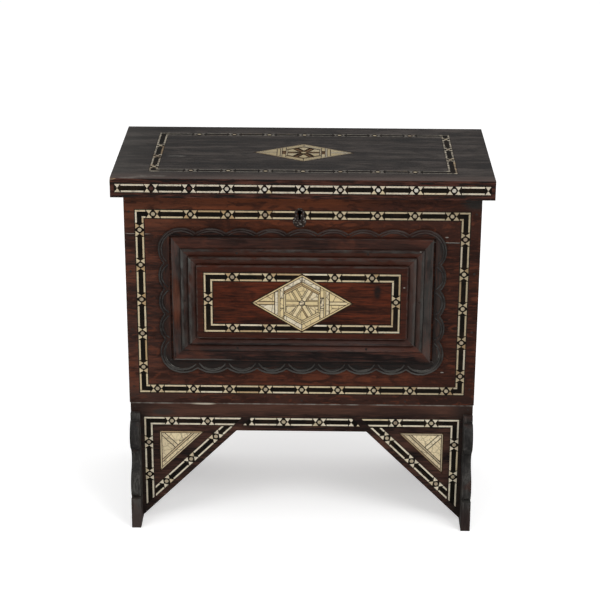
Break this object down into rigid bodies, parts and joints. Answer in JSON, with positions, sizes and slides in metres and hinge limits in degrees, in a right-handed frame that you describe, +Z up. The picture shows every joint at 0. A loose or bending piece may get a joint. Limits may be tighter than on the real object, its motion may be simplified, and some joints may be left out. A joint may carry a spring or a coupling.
{
  "type": "inlaid chest on stand",
  "caption": "Small wooden chest on a stand with wavy feet: hinged lid, lock, stepped front panel and geometric bone and pearl inlay, for keeping clothes or valuables.",
  "frame": {"origin": "middle of the rectangle that the whole chest covers, on the floor", "axes": "+X to the right of someone facing the front, +Y from the front to the back, +Z up"},
  "size_m": [0.522, 0.273, 0.5234],
  "materials": {
    "lid_wood": "dark satin, worn",
    "front_wood": "red-brown satin",
    "moulding_wood": "dark red-brown satin",
    "carved_wood": "dark brown, dull",
    "stand_wood": "dark red-brown satin",
    "side_wood": "red-brown satin",
    "plain_wood": "unpolished",
    "ground": "black, filled",
    "bone": "aged bone, satin",
    "pearl": "mother-of-pearl",
    "keyhole_brass": "tarnished",
    "iron": "dark, dull"
  },
  "bodies": {
    "case": {"apron_border_bone": "bone", "apron_border_ground": "ground", "apron_border_pearl": "pearl", "apron_plate_bone": "bone", "apron_plate_ground": "ground", "apron_plate_pearl": "pearl", "back_apron": "plain_wood", "back_board": "plain_wood", "board_nails": "iron", "bottom_board": "plain_wood", "bottom_moulding": "moulding_wood", "bottom_scallop": "carved_wood", "case_screws": "iron", "field_border_bone": "bone", "field_border_ground": "ground", "field_border_pearl": "pearl", "field_medallion_bone": "bone", "field_medallion_ground": "ground", "field_medallion_pearl": "pearl", "field_panel": "front_wood", "front_apron": "stand_wood", "front_board": "front_wood", "front_border_bone": "bone", "front_border_ground": "ground", "front_border_pearl": "pearl", "hinge_case_leaves": "iron", "hinge_pins": "iron", "keyhole_plate": "keyhole_brass", "keyhole_plate_nails": "iron", "left_moulding": "moulding_wood", "left_scallop": "carved_wood", "left_side_board": "side_wood", "left_stand_side": "stand_wood", "lock_case": "iron", "lock_cover": "iron", "lock_key_pin": "iron", "moulding_nails": "iron", "right_moulding": "moulding_wood", "right_scallop": "carved_wood", "right_side_board": "side_wood", "right_stand_side": "stand_wood", "stand_glue_blocks": "plain_wood", "top_moulding": "moulding_wood", "top_scallop": "carved_wood"},
    "lid": {"hinge_lid_leaves": "iron", "lid_board": "lid_wood", "lid_border_bone": "bone", "lid_border_ground": "ground", "lid_border_pearl": "pearl", "lid_edge_bone": "bone", "lid_edge_ground": "ground", "lid_edge_pearl": "pearl", "lid_medallion_bone": "bone", "lid_medallion_ground": "ground", "lid_medallion_pearl": "pearl", "lid_screws": "iron", "lid_staple": "iron"},
    "bolt": {"lock_bolt": "iron"}
  },
  "joints": [
    {"name": "lid_hinge", "type": "hinge", "parent": "case", "child": "lid", "pos_m": [0, 0.124, 0.49615], "axis": [-1, 0, 0], "range_deg": [0, 104]},
    {"name": "bolt_slide", "type": "slide", "parent": "case", "child": "bolt", "axis": [1, 0, 0], "range_m": [0, 0.01]}
  ]
}
